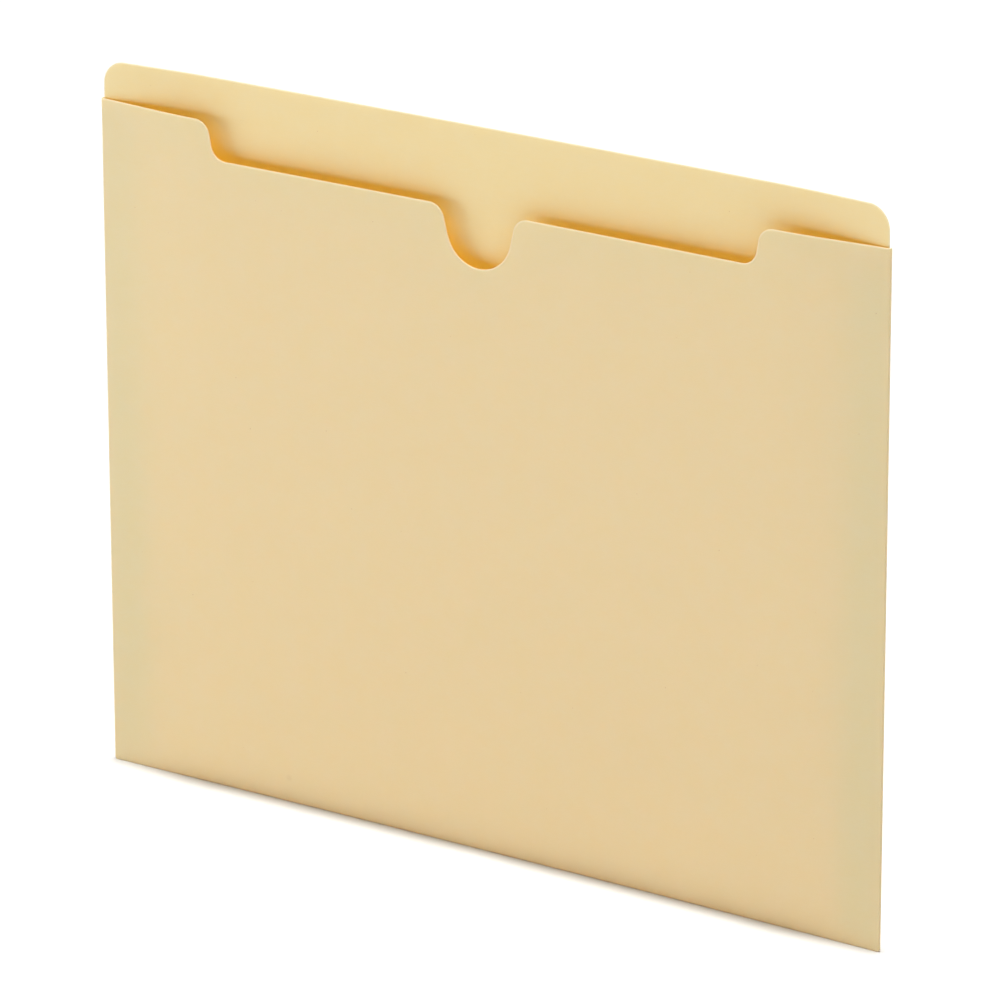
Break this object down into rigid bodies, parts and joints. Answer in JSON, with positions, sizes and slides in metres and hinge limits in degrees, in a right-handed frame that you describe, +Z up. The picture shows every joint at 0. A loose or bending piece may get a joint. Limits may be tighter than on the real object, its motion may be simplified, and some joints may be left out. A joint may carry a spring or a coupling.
{
  "type": "file jacket",
  "caption": "Flat file jacket of folded manila card for letter-size papers, with a straight-cut tab, a notched front with a thumb cut, glued side flaps and a mouth that springs open.",
  "frame": {"origin": "middle of the level strip under the bottom fold, midway between the front and the back when the jacket is pressed flat", "axes": "+X along the width to the reader's right, +Y from the front to the back, +Z up to the tab"},
  "size_m": [0.2984, 0.0065, 0.2413],
  "materials": {
    "manila_card": "uncoated pale yellow card, fine fibre, matt",
    "dried_glue": "thin film of dried glue"
  },
  "bodies": {
    "back": {"back_panel": "manila_card", "bottom_fold": "manila_card", "left_side_fold": "manila_card", "right_side_fold": "manila_card", "left_glue_flap": "manila_card", "right_glue_flap": "manila_card", "left_glue_line": "dried_glue", "right_glue_line": "dried_glue"},
    "front_centre": {"front_panel_centre": "manila_card"},
    "front_left": {"front_panel_left": "manila_card"},
    "front_right": {"front_panel_right": "manila_card"}
  },
  "joints": [
    {"name": "mouth", "type": "hinge", "parent": "back", "child": "front_centre", "pos_m": [0, -0.00029, 0.00042], "axis": [1, 0, 0], "range_deg": [-1.41, 2.49], "stiffness_Nm_per_rad": 0.5},
    {"name": "left_bend", "type": "hinge", "parent": "front_centre", "child": "front_left", "pos_m": [-0.1486, -0.00029, 0.00042], "axis": [0.2518, -0.0238, 0.9675], "range_deg": [-9.9, 5.6]},
    {"name": "right_bend", "type": "hinge", "parent": "front_centre", "child": "front_right", "pos_m": [0.1486, -0.00029, 0.00042], "axis": [-0.2518, -0.0238, 0.9675], "range_deg": [-5.6, 9.9]}
  ],
  "couplings": [
    {"joint": "left_bend", "follows": "mouth", "ratio": -3.9706},
    {"joint": "right_bend", "follows": "mouth", "ratio": 3.9706}
  ]
}
